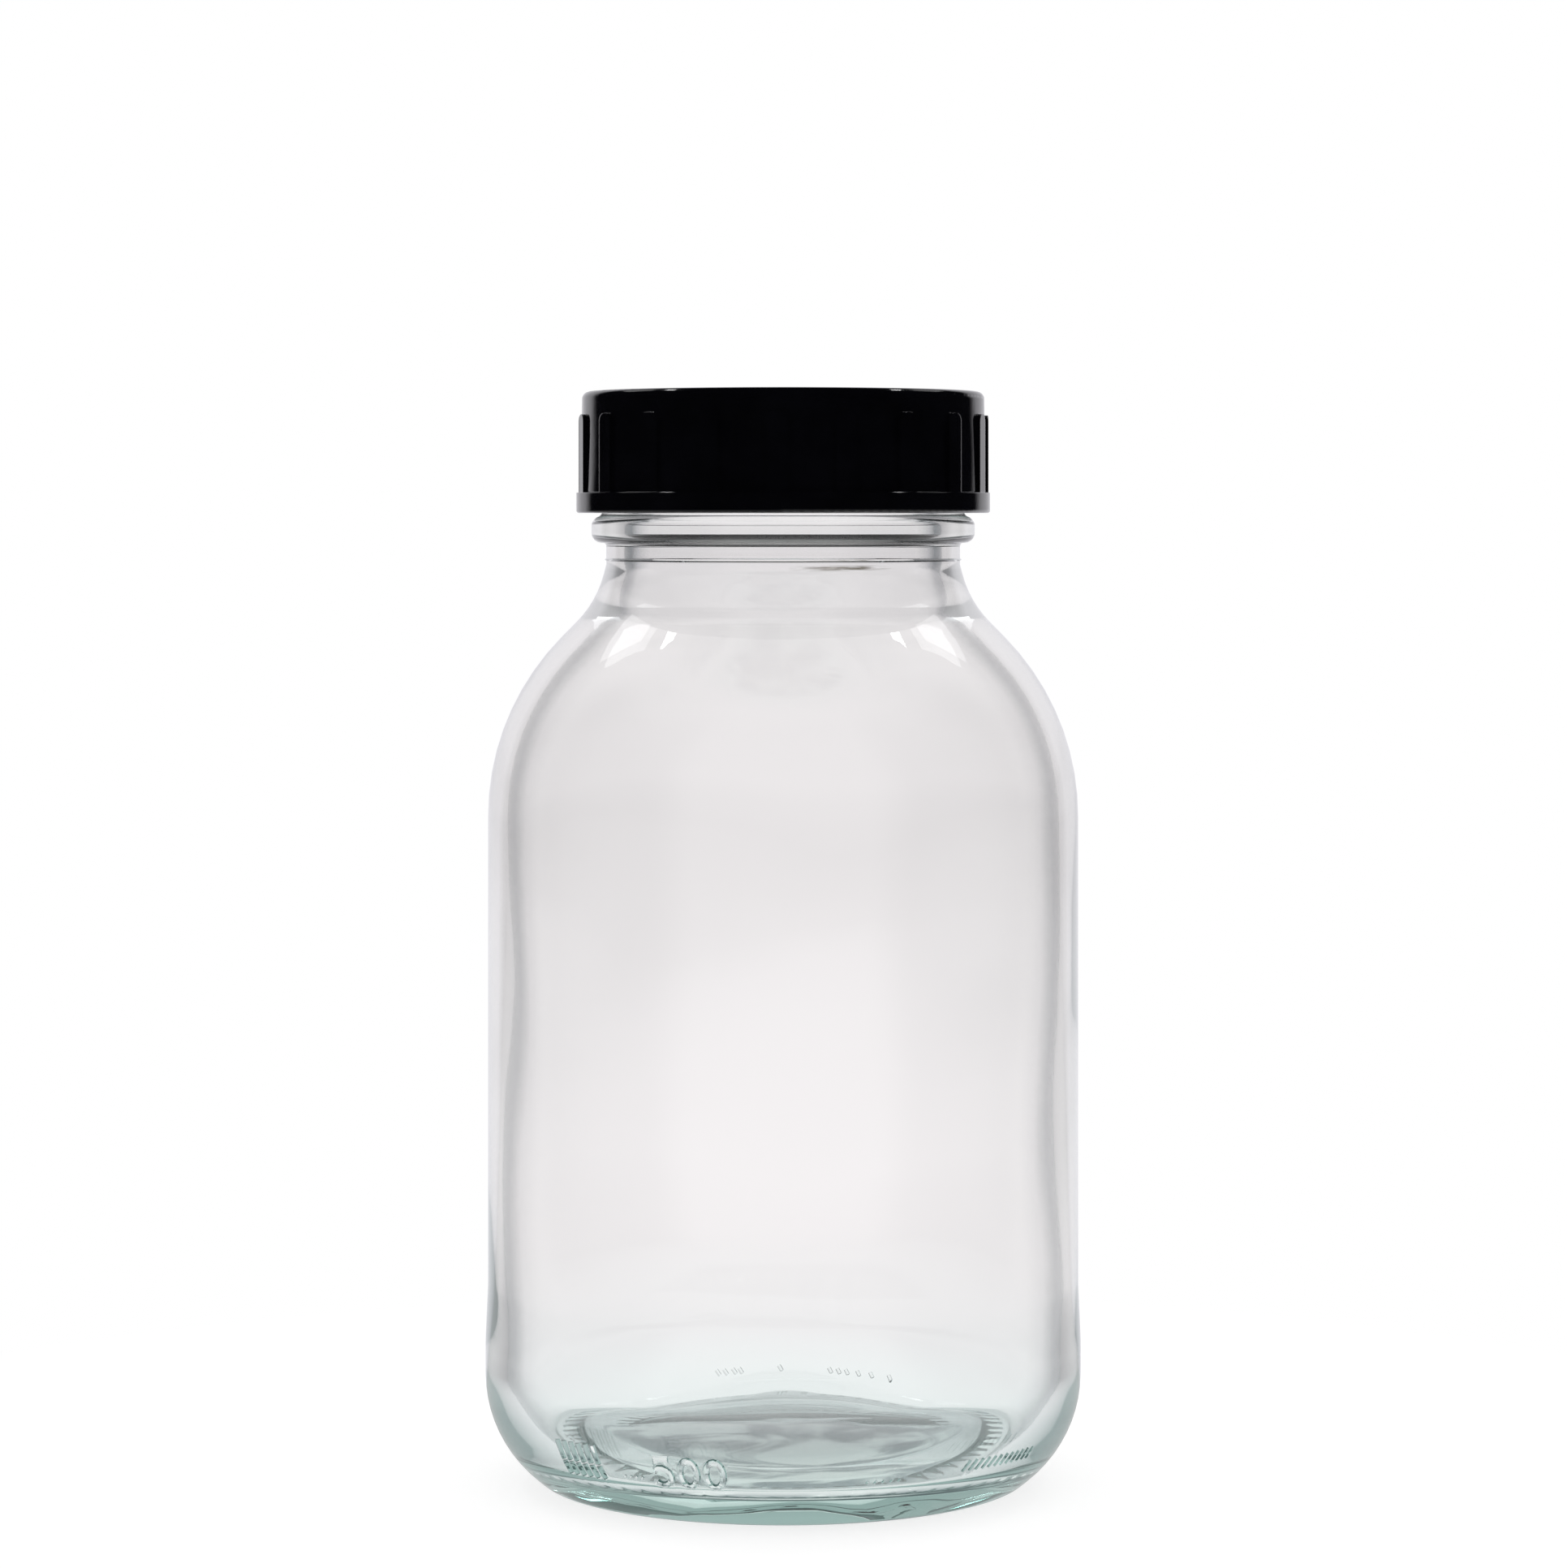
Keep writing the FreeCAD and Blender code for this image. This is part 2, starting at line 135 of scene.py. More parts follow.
def close_mesh():
    """From edit mode: merge doubles, point all faces outwards and go back to object mode."""
    bpy.ops.mesh.select_all(action="SELECT")
    bpy.ops.mesh.remove_doubles(threshold=DOUBLES)
    bpy.ops.mesh.normals_make_consistent(inside=False)
    bpy.ops.object.mode_set(mode="OBJECT")


def turned_piece(name, points):
    """Extrude a section point by point in the XZ plane and spin it once around the axis."""
    deselect()
    bpy.ops.mesh.primitive_plane_add(size=MM, location=(0, 0, 0))
    piece = bpy.context.object
    piece.name = name
    bpy.ops.object.mode_set(mode="EDIT")
    bpy.ops.mesh.select_all(action="SELECT")
    bpy.ops.mesh.merge(type="CENTER")
    bpy.ops.transform.translate(value=(points[0][0] * MM, 0, points[0][1] * MM))
    for a, b in zip(points, points[1:]):
        move = ((b[0] - a[0]) * MM, 0, (b[1] - a[1]) * MM)
        bpy.ops.mesh.extrude_region_move(TRANSFORM_OT_translate={"value": move})
    bpy.ops.mesh.select_all(action="SELECT")
    bpy.ops.mesh.spin(steps=COLUMNS, angle=math.tau, center=(0, 0, 0), axis=(0, 0, 1))
    close_mesh()
    return piece


def blown_glass():
    corners = [(0.0, PUSH_UP, 0.0)] + list(OUTSIDE) + list(INSIDE) + [(0.0, FLOOR_CROWN, 0.0)]
    return turned_piece("jar_glass", split_long(rounded_run(corners)))


# Waves of the inside, as blown glass has them

WALL_RADIUS = 30.0                  # the inner wall lies outside this radius
WALL_BEGINS = (13.0, 34.0)          # heights between which its waves grow
WALL_ENDS = (66.0, 106.0)           # and between which they fade
FLOOR_HEIGHTS = (4.0, 16.0)         # the inner floor lies between these heights
FLOOR_ENDS = (18.0, 28.0)           # radii between which its waves fade
LOOKS_UP = 0.3                      # a normal that rises more than this belongs to the floor


def soft_step(low, high, value):
    share = min(1.0, max(0.0, (value - low) / (high - low)))
    return share * share * (3.0 - 2.0 * share)


def inner_wall(radius, height):
    if radius < WALL_RADIUS:
        return 0.0
    return soft_step(*WALL_BEGINS, height) * (1.0 - soft_step(*WALL_ENDS, height))


def inner_floor(radius, height):
    if height < FLOOR_HEIGHTS[0] or height > FLOOR_HEIGHTS[1]:
        return 0.0
    return 1.0 - soft_step(*FLOOR_ENDS, radius)


def group_inside(piece, name, weight):
    """A vertex group on the inside of the glass, whose weights come from (radius, height)."""
    group = piece.vertex_groups.new(name=name)
    for vertex in piece.data.vertices:
        here, normal = vertex.co, vertex.normal
        if here.x * normal.x + here.y * normal.y < 0 or normal.z > LOOKS_UP:
            amount = weight(math.hypot(here.x, here.y) / MM, here.z / MM)
            if amount > 0:
                group.add([vertex.index], amount, "REPLACE")
    return group


def uneven(piece, group, width, depth, level):
    """Let the surface wander in waves of that width and depth. level is the share that goes under it."""
    waves = bpy.data.textures.new(group.name, "CLOUDS")
    waves.noise_scale = width * MM
    waves.noise_depth = 0
    only(piece)
    wander = piece.modifiers.new(group.name, "DISPLACE")
    wander.texture = waves
    wander.texture_coords = "LOCAL"
    wander.vertex_group = group.name
    wander.strength = depth * MM
    wander.mid_level = level
    bpy.ops.object.modifier_apply(modifier=wander.name)


# Standing ring: the two inner loops of the flat ring are pressed up between narrow bars

RING_BARS = 64
RING_LOOPS = (28.0, 30.8)           # radii between which the loops lie
BAR_SHARE = 0.45                    # of the way from bar to bar
GROOVE_DEPTH = 0.32


def ring_grooves(piece):
    only(piece)
    bpy.ops.object.mode_set(mode="EDIT")
    bpy.ops.mesh.select_all(action="DESELECT")
    bpy.ops.object.mode_set(mode="OBJECT")
    step = math.tau / RING_BARS
    for vertex in piece.data.vertices:
        radius = math.hypot(vertex.co.x, vertex.co.y) / MM
        if abs(vertex.co.z) < DOUBLES and RING_LOOPS[0] < radius < RING_LOOPS[1]:
            share = (math.atan2(vertex.co.y, vertex.co.x) / step) % 1.0
            vertex.select = share > BAR_SHARE
    bpy.ops.object.mode_set(mode="EDIT")
    bpy.ops.transform.translate(value=(0, 0, GROOVE_DEPTH * MM))
    bpy.ops.mesh.select_all(action="DESELECT")
    bpy.ops.object.mode_set(mode="OBJECT")


# Screw thread of the finish

THREAD_MIDDLE, THREAD_PITCH, THREAD_TURNS = 138.2, 4.2, 1.5     # height of its start, pitch, turns
THREAD_ROOT, THREAD_CREST, FINISH = 24.7, 26.2, 25.0            # radii; the finish is the glass around it
THREAD_FOOT, THREAD_TOP = 1.1, 0.5                              # half its width at the foot and on the crest
THREAD_STEPS = 180
RUN_OUT, RUN_UNDER = 25, 0.05       # degrees over which it ends, and how far it goes under the finish
NEXT_TURN = 1.15                    # a point this far above the first turn's middle is on the second
END_REACH = 1.2                     # all points of an end are nearer to its middle


def run_out(thread):
    """Let the ridge sink into the glass at both ends."""
    for vertex in thread.data.vertices:
        here = vertex.co
        radius = math.hypot(here.x, here.y) / MM
        angle = math.atan2(here.y, here.x) % math.tau
        first_turn = THREAD_MIDDLE + THREAD_PITCH * angle / math.tau
        turned = angle + (math.tau if here.z / MM > first_turn + NEXT_TURN else 0.0)
        from_end = min(turned, math.tau * THREAD_TURNS - turned)
        if radius > FINISH and from_end < math.radians(RUN_OUT):
            limit = (FINISH - RUN_UNDER) / math.cos(max(0.0, from_end))
            scale = min(1.0, limit / radius)
            here.x, here.y = here.x * scale, here.y * scale


def screw_thread():
    """The ridge of the finish: its section screwed up one and a half turns, with closed ends."""
    deselect()
    bpy.ops.mesh.primitive_plane_add(size=MM, location=(0, 0, 0))
    thread = bpy.context.object
    thread.name = "glass_thread"
    section = ((THREAD_ROOT, -THREAD_FOOT), (THREAD_CREST, -THREAD_TOP),
               (THREAD_ROOT, THREAD_FOOT), (THREAD_CREST, THREAD_TOP))
    for vertex, (radius, rise) in zip(thread.data.vertices, section):
        vertex.co = (radius * MM, 0, (THREAD_MIDDLE + rise) * MM)
    turn = thread.modifiers.new("turn", "SCREW")
    turn.angle = math.tau * THREAD_TURNS
    turn.screw_offset = THREAD_PITCH * THREAD_TURNS * MM
    turn.steps = turn.render_steps = THREAD_STEPS
    turn.use_normal_calculate = True
    bpy.ops.object.modifier_apply(modifier="turn")
    run_out(thread)
    only(thread)
    bpy.ops.object.mode_set(mode="EDIT")
    bpy.ops.mesh.select_all(action="SELECT")
    bpy.ops.mesh.remove_doubles(threshold=DOUBLES)
    for side, rise in ((1, 0.0), (-1, THREAD_PITCH * THREAD_TURNS)):
        bpy.ops.mesh.select_all(action="DESELECT")
        bpy.ops.object.mode_set(mode="OBJECT")
        for vertex in thread.data.vertices:
            on_cut = abs(vertex.co.y) < 1e-7 and vertex.co.x * side > 0
            vertex.select = on_cut and abs(vertex.co.z / MM - (THREAD_MIDDLE + rise)) < END_REACH
        bpy.ops.object.mode_set(mode="EDIT")
        bpy.ops.mesh.edge_face_add()
    bpy.ops.mesh.select_all(action="SELECT")
    bpy.ops.mesh.normals_make_consistent(inside=False)
    bpy.ops.object.mode_set(mode="OBJECT")
    return thread


# Moulded marks: strokes drawn flat, x round the jar and y up the heel, then bent onto the glass

HEEL_ROUNDING, HEEL_CENTRE, HEEL_HEIGHT = 17.5, 23.5, 14.83     # the heel's arc: radius, and its centre
MARK_HEIGHT, MARK_RADIUS = 7.7, 39.0    # height of y = 0, and the radius at which x is measured
MARK_SINK = 0.08                        # how far the middle of a stroke lies under the glass
DIGIT, BAR, KNURL, DOT, TICK = 0.50, 0.48, 0.28, 0.2, 0.34      # how thick the strokes are, as radii
ZERO_POINTS = 20                        # only the ring of a zero has this many points, and is closed


def zero(x, y, wide, high):
    return [(x + wide / 2 * math.sin(t), y + high / 2 * math.cos(t)) for t in
            (math.tau * i / ZERO_POINTS for i in range(ZERO_POINTS))]


def five(x, y, wide, high):
    top, bottom, side = y + high / 2, y - high / 2, x - wide / 2
    bowl = [(x - 0.1 * wide + 0.58 * wide * math.sin(t), y - 0.17 * high + 0.33 * high * math.cos(t))
            for t in (math.radians(-40 + 25 * i) for i in range(10))]
    stem = [(x + wide * 0.42, top), (side + 0.15, top), (side, y + 0.04 * high)]
    return stem + bowl + [(side, bottom + 0.35)]


def capacity_strokes():
    return [(five(-15.85, 0.1, 2.2, 4.0), DIGIT), (zero(-12.35, 0.1, 2.3, 3.9), DIGIT),
            (zero(-8.85, 0.1, 2.3, 3.9), DIGIT)]


def plain_strokes():
    """Bars left of the capacity, knurls far right, dots at both sides and ticks at the back."""
    strokes = []
    for i in range(6):
        x = -32.4 + 1.25 * i
        strokes.append(([(x, 2.9), (x + 0.4, 0.2)], BAR))
        strokes.append(([(x + 0.42, -0.1), (x + 0.8, -2.0)], BAR))
    for i in range(12):
        x = 25.2 + 1.15 * i
        strokes.append(([(x, -0.9), (x + 0.95, 0.7)], KNURL))
    for i in range(9):
        x = -22.0 + 0.9 * i if i < 4 else 11.0 + 1.1 * (i - 4)
        strokes.append(([(x, -1.4), (x + 0.3, -1.0)], DOT))
    back = math.pi * MARK_RADIUS
    for x in (-10.6, -9.4, -8.0, -7.0, -0.6, 7.6, 9.0, 10.4, 12.4, 14.6, 17.6):
        strokes.append(([(back - x - 0.25, -2.3), (back - x + 0.25, -1.5)], TICK))
    return strokes


def heel_marks(name, strokes):
    deselect()
    line = bpy.data.curves.new(name, "CURVE")
    line.dimensions = "3D"
    line.bevel_resolution = 2
    line.bevel_depth = MM
    line.use_fill_caps = True
    for points, thick in strokes:
        spline = line.splines.new("POLY")
        spline.points.add(len(points) - 1)
        spline.use_cyclic_u = len(points) == ZERO_POINTS
        for point, (x, y) in zip(spline.points, points):
            point.co = (x * MM, y * MM, 0, 1)
            point.radius = thick
    marks = bpy.data.objects.new(name, line)
    bpy.context.scene.collection.objects.link(marks)
    only(marks)
    bpy.ops.object.convert(target="MESH")
    for vertex in marks.data.vertices:
        along, up, out = (part / MM for part in vertex.co)
        reach = HEEL_ROUNDING + (out - MARK_SINK)
        tilt = math.asin((HEEL_HEIGHT - MARK_HEIGHT) / HEEL_ROUNDING) - up / HEEL_ROUNDING
        radius = HEEL_CENTRE + reach * math.cos(tilt)
        angle = along / MARK_RADIUS - math.pi / 2
        vertex.co = (radius * math.cos(angle) * MM, radius * math.sin(angle) * MM,
                     (HEEL_HEIGHT - reach * math.sin(tilt)) * MM)
    bpy.ops.object.mode_set(mode="EDIT")
    close_mesh()
    return marks


def weld(piece, extra, crossing=False):
    only(piece)
    union = piece.modifiers.new("weld", "BOOLEAN")
    union.operation = "UNION"
    union.solver = "EXACT"
    union.use_self = crossing
    union.object = extra
    bpy.ops.object.modifier_apply(modifier="weld")
    bpy.data.objects.remove(extra)


SKIN_RADIUS, SKIN_HEIGHT = 15.0, 5.0    # the wall's inside lies beyond both
LOOKS_IN = 0.3                          # its normals point to the axis by more than this


def mark_inner_skin(piece):
    """An attribute that is 1 on the inside of the glass, for the finish."""
    skin = piece.data.attributes.new("inner_skin", "FLOAT", "POINT")
    for vertex in piece.data.vertices:
        here, normal = vertex.co, vertex.normal
        radius = math.hypot(here.x, here.y)
        inner = here.x * normal.x + here.y * normal.y < -LOOKS_IN * radius
        inner = inner and radius > SKIN_RADIUS * MM and here.z > SKIN_HEIGHT * MM
        skin.data[vertex.index].value = 1.0 if inner else 0.0


jar = blown_glass()
uneven(jar, group_inside(jar, "wall_waves", inner_wall), width=30.0, depth=0.9, level=0.15)
uneven(jar, group_inside(jar, "floor_waves", inner_floor), width=9.0, depth=0.4, level=0.50)
ring_grooves(jar)
weld(jar, screw_thread())
digits = heel_marks("heel_digits", capacity_strokes())
weld(digits, heel_marks("heel_bars", plain_strokes()), crossing=True)
weld(jar, digits)
only(jar)
bpy.ops.object.shade_smooth_by_angle(angle=math.radians(SMOOTH_BELOW))
mark_inner_skin(jar)


# Nodes: each of these adds to a tree and returns what comes out

WHITE = (1, 1, 1, 1)


def feed(tree, node, inputs):
    """Set the node's inputs, and link those whose value comes out of another node."""
    for name, value in inputs.items():
        if isinstance(value, bpy.types.NodeSocket):
            tree.links.new(value, node.inputs[name])
        else:
            node.inputs[name].default_value = value


def add(tree, kind, inputs, operation=None):
    """A new node of that kind, fed with inputs. Returns its outputs."""
    node = tree.nodes.new(kind)
    if operation:
        node.operation = operation
    feed(tree, node, inputs)
    return node.outputs


def coordinates(tree, kind):
    return tree.nodes.new("ShaderNodeTexCoord").outputs[kind]


def axes(tree, vector):
    """The outputs X, Y and Z of a vector."""
    return add(tree, "ShaderNodeSeparateXYZ", {"Vector": vector})


def ramp(tree, share, stops, mode="LINEAR"):
    """The colour at share among (position, colour) stops."""
    node = tree.nodes.new("ShaderNodeValToRGB")
    node.color_ramp.interpolation = mode
    elements = node.color_ramp.elements
    while len(elements) < len(stops):
        elements.new(0.5)
    for element, (place, colour) in zip(elements, stops):
        element.position = place
        element.color = (*colour, 1)
    tree.links.new(share, node.inputs["Fac"])
    return node.outputs["Color"]


def between(tree, value, low, high, from_low=0.0, to_high=1.0):
    """From from_low at low to to_high at high, and held beyond them."""
    return add(tree, "ShaderNodeMapRange", {
        "Value": value, "From Min": low, "From Max": high, "To Min": from_low, "To Max": to_high,
    })["Result"]


def times(tree, first, *others):
    for other in others:
        first = add(tree, "ShaderNodeMath", {0: first, 1: other}, "MULTIPLY")["Value"]
    return first


def span(tree, value, start, full, ends, gone):
    """1 between full and ends, fading to 0 at start and gone, all in millimetres."""
    grows = between(tree, value, start * MM, full * MM)
    fades = between(tree, value, gone * MM, ends * MM)
    return times(tree, grows, fades)


def mixed(tree, share, first, second, mode="MIX"):
    """The colour first with second laid over it by share."""
    node = tree.nodes.new("ShaderNodeMix")
    node.data_type = "RGBA"
    node.blend_type = mode
    feed(tree, node, {"Factor": share, "A": first, "B": second})
    return node.outputs["Result"]


def either(tree, share, shader, other):
    """shader where share is 0, and other where it is 1."""
    return add(tree, "ShaderNodeMixShader", {"Fac": share, 1: shader, 2: other})["Shader"]


def noise(tree, place, scale, detail, distortion=0.0):
    return add(tree, "ShaderNodeTexNoise", {
        "Vector": place, "Scale": scale, "Detail": detail, "Distortion": distortion,
    })["Fac"]


def bump(tree, height, strength, distance, under=None):
    """The normal pressed by height, laid on the normal under if there is one."""
    inputs = {"Height": height, "Strength": strength, "Distance": distance}
    if under is not None:
        inputs["Normal"] = under
    return add(tree, "ShaderNodeBump", inputs)["Normal"]


# Light that has met glossy surfaces more often than this is caught in the glass

TRAPPED_DEPTH = 2.5


def long_trapped(tree):
    depth = tree.nodes.new("ShaderNodeLightPath").outputs["Glossy Depth"]
    return add(tree, "ShaderNodeMath", {0: depth, 1: TRAPPED_DEPTH}, "GREATER_THAN")["Value"]


def new_finish(name):
    """A new material, its tree and its shader."""
    finish = bpy.data.materials.new(name)
    finish.use_nodes = True
    return finish, finish.node_tree, finish.node_tree.nodes["Principled BSDF"]


def dress(piece, finish):
    piece.data.materials.clear()
    piece.data.materials.append(finish)


# Clear glass: what one crossing lets through, darkened as painted shade towards edge on, from seen square on
# (0) to edge on (1)

OUTER_EDGE_SHADE = (
    (0.40, (1.0, 1.0, 1.0)),
    (0.60, (0.98, 0.98, 0.98)),
    (0.80, (0.95, 0.955, 0.96)),
    (1.00, (0.80, 0.82, 0.84)),
)
INNER_EDGE_SHADE = (
    (0.52, (1.0, 1.0, 1.0)),
    (0.64, (0.88, 0.88, 0.89)),
    (0.71, (0.60, 0.61, 0.62)),
    (0.77, (0.42, 0.43, 0.45)),
    (1.00, (0.42, 0.43, 0.45)),
)
BORE_EDGE_SHADE = (
    (0.46, (1.0, 1.0, 1.0)),
    (0.60, (0.50, 0.52, 0.54)),
    (0.70, (0.10, 0.12, 0.13)),
    (1.00, (0.10, 0.12, 0.13)),
)
HEEL_EDGE_SHADE = (
    (0.34, (1.0, 1.0, 1.0)),
    (0.50, (0.76, 0.80, 0.81)),
    (0.66, (0.42, 0.48, 0.49)),
    (1.00, (0.32, 0.38, 0.39)),
)
BORE_HEIGHTS = (122.4, 123.6, 131.8, 132.6)
HEEL_HEIGHTS = (3.0, 6.0, 11.0, 19.0)

# and by height, as shares of GLASS_TOP: how much darker the glass is, and the painted shade that caught light
# keeps

GLASS_TOP = 0.15
# Darker and greener towards the bottom, and a little grey at the neck
HEIGHT_DARKENING = (
    (0.00, (0.78, 0.88, 0.86)),
    (0.04, (0.86, 0.92, 0.91)),
    (0.09, (0.96, 0.98, 0.98)),
    (0.20, (1.0, 1.0, 1.0)),
    (0.78, (1.0, 1.0, 1.0)),
    (0.82, (0.94, 0.94, 0.945)),
    (0.86, (0.94, 0.94, 0.945)),
    (0.885, (1.0, 1.0, 1.0)),
)
CAUGHT_SHADE = ((0.10, (0.44, 0.53, 0.52)), (0.60, (0.66, 0.66, 0.67)))
SCUFF = (0.17, 0.155, 0.12, 1)


def mould_scuff(tree, place, split):
    """How much of a scuffed streak lies here: low on the neck, in front and to the right."""
    smear = add(tree, "ShaderNodeMapping", {"Vector": place, "Scale": (260.0, 260.0, 3400.0)})["Vector"]
    ragged = between(tree, noise(tree, smear, 1.0, 4.0), 0.42, 0.56)
    along = span(tree, split["X"], 0.5, 5.0, 10.5, 14.5)
    up = span(tree, split["Z"], 125.1, 125.5, 125.6, 126.0)
    front = span(tree, split["Y"], -40.0, -30.0, -15.0, -10.0)
    return times(tree, along, up, front, ragged)


def clear_glass():
    """Soda glass: clear in the wall, greener in the thick base, darker and greener towards the bottom, with
    painted shade where it is seen edge on and on light caught in it.
    """
    finish, tree, shader = new_finish("clear_glass")
    place = coordinates(tree, "Object")
    split = axes(tree, place)
    facing = add(tree, "ShaderNodeLayerWeight", {"Blend": 0.5})["Facing"]
    outer = mixed(tree, span(tree, split["Z"], *HEEL_HEIGHTS),
                  ramp(tree, facing, OUTER_EDGE_SHADE), ramp(tree, facing, HEEL_EDGE_SHADE))
    inner = mixed(tree, span(tree, split["Z"], *BORE_HEIGHTS),
                  ramp(tree, facing, INNER_EDGE_SHADE), ramp(tree, facing, BORE_EDGE_SHADE))
    skin = tree.nodes.new("ShaderNodeAttribute")
    skin.attribute_name = "inner_skin"
    # edge: painted shade of the glass seen edge on, in the wall, the heel and the bore
    edge = mixed(tree, skin.outputs["Fac"], outer, inner)
    height = between(tree, split["Z"], 0.0, GLASS_TOP)
    darkened_glass_colour = mixed(tree, 1.0, edge, ramp(tree, height, HEIGHT_DARKENING), "MULTIPLY")
    feed(tree, shader, {
        "Base Color": mixed(tree, mould_scuff(tree, place, split), darkened_glass_colour, SCUFF),
        "Roughness": 0.0,
        "IOR": 1.52,
        "Transmission Weight": 1.0,
        "Normal": bump(tree, noise(tree, place, 70.0, 1.0), 0.25, 0.0002),
    })
    # Caught light passes straight out, dimmed by painted shade
    leak = add(tree, "ShaderNodeBsdfTransparent", {"Color": ramp(tree, height, CAUGHT_SHADE)})["BSDF"]
    feed(tree, tree.nodes["Material Output"], {
        "Surface": either(tree, long_trapped(tree), shader.outputs["BSDF"], leak),
        "Volume": add(tree, "ShaderNodeVolumeAbsorption", {
            "Color": (0.33, 0.74, 0.65, 1),
            "Density": 7.0,
        })["Volume"],
    })
    return finish


BLACKS = ((0.35, (0.0008, 0.0008, 0.0013)), (0.70, (0.0016, 0.0016, 0.0026)))


def black_plastic():
    """Glossy compression-moulded plastic: black, with a faint cloudiness in its polish and soft edges."""
    finish, tree, shader = new_finish("black_plastic")
    place = coordinates(tree, "Object")
    cloud = noise(tree, place, 160.0, 4.0)
    soft_edge = tree.nodes.new("ShaderNodeBevel")
    soft_edge.samples = 6
    soft_edge.inputs["Radius"].default_value = 0.35 * MM
    grain = noise(tree, place, 900.0, 2.0)
    feed(tree, shader, {
        "Base Color": ramp(tree, cloud, BLACKS),
        "Roughness": between(tree, cloud, 0.3, 0.7, 0.05, 0.10),
        "IOR": 1.5,
        "Normal": bump(tree, grain, 0.08, 0.0001, soft_edge.outputs["Normal"]),
    })
    return finish


WHITES = ((0.3, (0.74, 0.735, 0.71)), (0.7, (0.83, 0.83, 0.815)))


def liner_foam():
    """White foamed disc: matt, with fine cells and a slightly warmer mottle."""
    finish, tree, shader = new_finish("liner_foam")
    place = coordinates(tree, "Object")
    cells = add(tree, "ShaderNodeTexVoronoi", {"Vector": place, "Scale": 2200.0})["Distance"]
    mottle = noise(tree, place, 240.0, 3.0)
    feed(tree, shader, {
        "Base Color": ramp(tree, mottle, WHITES),
        "Roughness": between(tree, mottle, 0.0, 1.0, 0.55, 0.75),
        "Normal": bump(tree, cells, 0.3, 0.0001),
    })
    return finish


dress(jar, clear_glass())
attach(jar, "glass")
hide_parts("jar")

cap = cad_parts["screw_cap"]
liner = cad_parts["cap_liner"]
for node, finish in ((cap, black_plastic()), (liner, liner_foam())):
    dress(node, finish)


# Studio. The camera sees white, with a soft shadow under the jar. Through the glass the surround is slightly
# dimmer, and more so at both sides. Mirrored, it is dark but for the floor near the jar and a glow behind it.

LAVENDER = (1.0, 0.957, 0.967)
SIDE_DIMNESS = ((0.60, (1.0, 1.0, 1.0)), (0.92, (0.50, 0.50, 0.51)))            # by how far aside, 0 to 1
REAR_GLOW = ((0.68, (0.006, 0.006, 0.008)), (0.82, (0.85, 0.84, 0.88)))         # by how far to the rear
MIRRORED_FLOOR = ((0.02, (0.60, 0.60, 0.60)), (0.55, (0.01, 0.01, 0.01)))       # by distance over FLOOR_REACH
FLOOR_SIZE, FLOOR_DROP, FLOOR_REACH = 12.0, 0.0004, 2.0
# Through the glass the floor is darkest under the jar: a painted shadow
FLOOR_LEVELS = (        # through the glass: distance over FLOOR_REACH, and how bright it is there
    (0.0, 0.62),
    (0.009, 0.66),
    (0.0135, 0.95),
    (0.0175, 1.04),
    (0.03, 1.07),
    (0.053, 0.94),
    (0.066, 0.925),
    (0.078, 0.94),
    (0.105, 0.936),
    (0.17, 0.963),
    (0.26, 0.954),
    (0.325, 0.936),
    (0.395, 0.894),
    (0.485, 0.87),
    (0.60, 0.851),
    (0.75, 0.866),
    (0.90, 0.885),
)
HORIZON_LEVELS = ((0.08, 0.885), (0.40, 0.87), (1.0, 0.92))     # through the glass, by height over the horizon
HORIZON_REACH = (-0.03, 0.07)
UNDER_JAR = (0.033, 0.027)          # the painted caustics on the floor under the jar end between these distances
# Painted caustics: dark and bright swirls of light on the floor under the jar, seen through the base
PAINTED_CAUSTICS = ((0.41, (0.30, 0.36, 0.38)), (0.58, (1.10, 1.14, 1.12)))
SIDES_FROM = (0.05, 0.12)           # the floor's sides dim between these distances
SHADOW_ENDS = (0.10, 0.16)          # the part of the floor that takes a shadow ends between these
SHADOW_PAPER, SHADOW_GLOW = (0.32, 0.32, 0.32, 1), 0.78
FILL = 0.85                         # strength of the world on the object


def tinted(levels):
    return tuple((place, tuple(level * part for part in LAVENDER)) for place, level in levels)


def choose(tree, kind, shader_if, shader_else):
    """shader_if for that kind of ray and shader_else for all others. Caught light counts as transmitted."""
    fits = tree.nodes.new("ShaderNodeLightPath").outputs[kind]
    if kind == "Is Transmission Ray":
        fits = add(tree, "ShaderNodeMath", {0: fits, 1: long_trapped(tree)}, "MAXIMUM")["Value"]
    return either(tree, fits, shader_else, shader_if)


def by_ray(tree, seen, through, mirrored, others):
    result = choose(tree, "Is Glossy Ray", mirrored, others)
    result = choose(tree, "Is Transmission Ray", through, result)
    return choose(tree, "Is Camera Ray", seen, result)


def glow(tree, colour, strength=1.0, kind="ShaderNodeEmission"):
    return add(tree, kind, {"Color": colour, "Strength": strength})[0]


def darker_aside(tree, aside, colour):
    """colour, dimmed towards the left and right of the studio."""
    distance = add(tree, "ShaderNodeMath", {0: aside}, "ABSOLUTE")["Value"]
    return mixed(tree, 1.0, colour, ramp(tree, distance, SIDE_DIMNESS, "EASE"), "MULTIPLY")


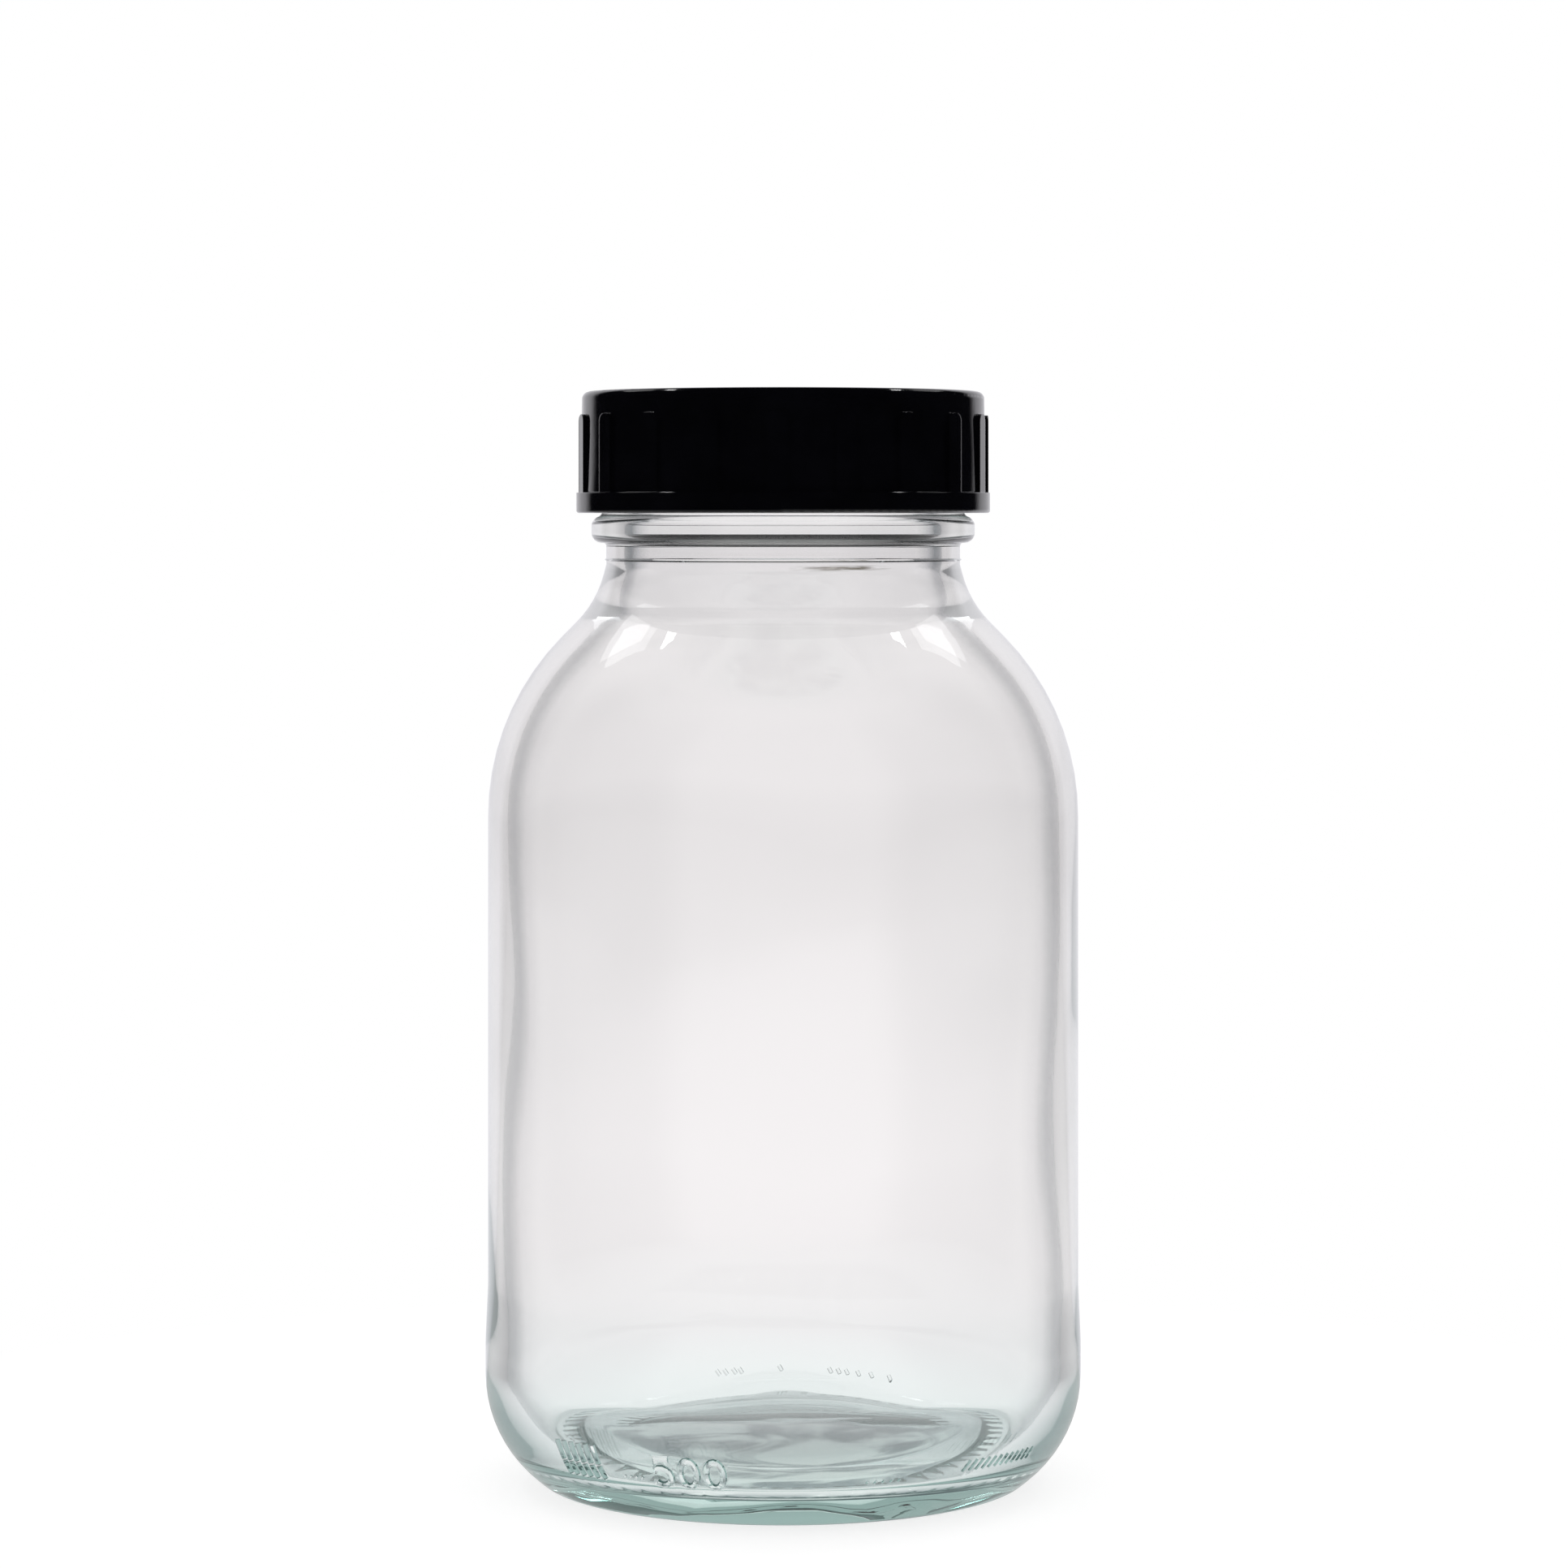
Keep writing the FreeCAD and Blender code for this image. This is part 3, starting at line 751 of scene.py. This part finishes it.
def white_floor():
    deselect()
    bpy.ops.mesh.primitive_plane_add(size=FLOOR_SIZE, location=(0, 0, -FLOOR_DROP))
    floor = bpy.context.object
    floor.name = "studio_floor"
    finish, tree, shader = new_finish("studio_white")
    feed(tree, shader, {"Base Color": (0.8, 0.8, 0.8, 1), "Roughness": 1.0, "Specular IOR Level": 0.0})
    place = coordinates(tree, "Object")
    away = add(tree, "ShaderNodeVectorMath", {0: place}, "LENGTH")["Value"]
    bearing = axes(tree, add(tree, "ShaderNodeVectorMath", {0: place}, "NORMALIZE")["Vector"])
    reach = between(tree, away, 0.0, FLOOR_REACH)

    # Seen through the glass the floor glows with painted light and shade: a painted shadow under the jar,
    # painted caustics and dimmer sides
    caustics = ramp(tree, noise(tree, place, 55.0, 3.0, 1.2), PAINTED_CAUSTICS, "EASE")
    painted_floor = mixed(tree, between(tree, away, *UNDER_JAR),
                    ramp(tree, reach, tinted(FLOOR_LEVELS)), caustics, "MULTIPLY")
    ground = mixed(tree, between(tree, away, *SIDES_FROM), painted_floor, darker_aside(tree, bearing["X"], painted_floor))

    paper = add(tree, "ShaderNodeBsdfDiffuse", {"Color": SHADOW_PAPER})["BSDF"]
    shaded = add(tree, "ShaderNodeAddShader", {0: paper, 1: glow(tree, WHITE, SHADOW_GLOW)})["Shader"]
    seen = either(tree, between(tree, away, *SHADOW_ENDS), shaded, glow(tree, WHITE))

    # In reflections the floor glows with painted light: bright near the jar, dark beyond, lighter to the rear
    mirrored = mixed(tree, 1.0, ramp(tree, reach, MIRRORED_FLOOR, "EASE"),
                     ramp(tree, bearing["Y"], REAR_GLOW, "EASE"), "LIGHTEN")
    surface = by_ray(tree, seen, glow(tree, ground), glow(tree, mirrored), shader.outputs["BSDF"])
    feed(tree, tree.nodes["Material Output"], {"Surface": surface})
    dress(floor, finish)


def studio_world():
    world = bpy.data.worlds.new("studio")
    bpy.context.scene.world = world
    world.use_nodes = True
    tree = world.node_tree
    tree.nodes.clear()
    split = axes(tree, coordinates(tree, "Generated"))
    horizon = ramp(tree, between(tree, split["Z"], *HORIZON_REACH), tinted(HORIZON_LEVELS), "EASE")
    through = darker_aside(tree, split["X"], horizon)
    mirrored = ramp(tree, split["Y"], REAR_GLOW, "EASE")
    shaders = [glow(tree, colour, strength, "ShaderNodeBackground")
               for colour, strength in ((WHITE, 1.0), (through, 1.0), (mirrored, 1.0), (WHITE, FILL))]
    add(tree, "ShaderNodeOutputWorld", {"Surface": by_ray(tree, *shaders)})


LAMP_AIM = (0, 0, 0.1)
LAMPS = (               # name, place on the right side, width, height, power
    ("lamp_", (0.52, 0.34, 1.05), 0.17, 0.06, 0.6),
    ("softbox_", (0.60, 0.56, 0.92), 0.34, 0.24, 0.32),
)


def soft_lamp(name, place, width, height, power):
    lamp = bpy.data.lights.new(name, "AREA")
    lamp.shape = "RECTANGLE"
    lamp.size = width
    lamp.size_y = height
    lamp.energy = power
    holder = bpy.data.objects.new(name, lamp)
    bpy.context.scene.collection.objects.link(holder)
    holder.location = place
    holder.rotation_euler = (Vector(LAMP_AIM) - Vector(place)).to_track_quat("-Z", "Y").to_euler()


white_floor()
studio_world()
for side, side_name in ((-1, "left"), (1, "right")):
    for name, (x, y, z), width, height, power in LAMPS:
        soft_lamp(name + side_name, (side * x, y, z), width, height, power)


# Camera of the photograph: level, lens shifted down

PHOTO_WIDTH = 1931
PHOTO_HEIGHT = 1932
FOCAL_PIXELS = 6000.0
HORIZON_ROW = 633.0
SENSOR = 36.0
CAMERA_PLACE = (0.00005, -0.672, 0.1329)
NEAREST = 0.05

lens = bpy.data.cameras.new("photo_camera")
lens.sensor_fit = "HORIZONTAL"
lens.sensor_width = SENSOR
lens.lens = FOCAL_PIXELS * SENSOR / PHOTO_WIDTH
lens.shift_y = (HORIZON_ROW - PHOTO_HEIGHT / 2) / PHOTO_WIDTH
lens.clip_start = NEAREST
camera = bpy.data.objects.new("photo_camera", lens)
bpy.context.scene.collection.objects.link(camera)
camera.location = CAMERA_PLACE
camera.rotation_euler = (math.radians(90), 0, 0)
bpy.context.scene.camera = camera
bpy.context.scene.view_settings.view_transform = "Standard"
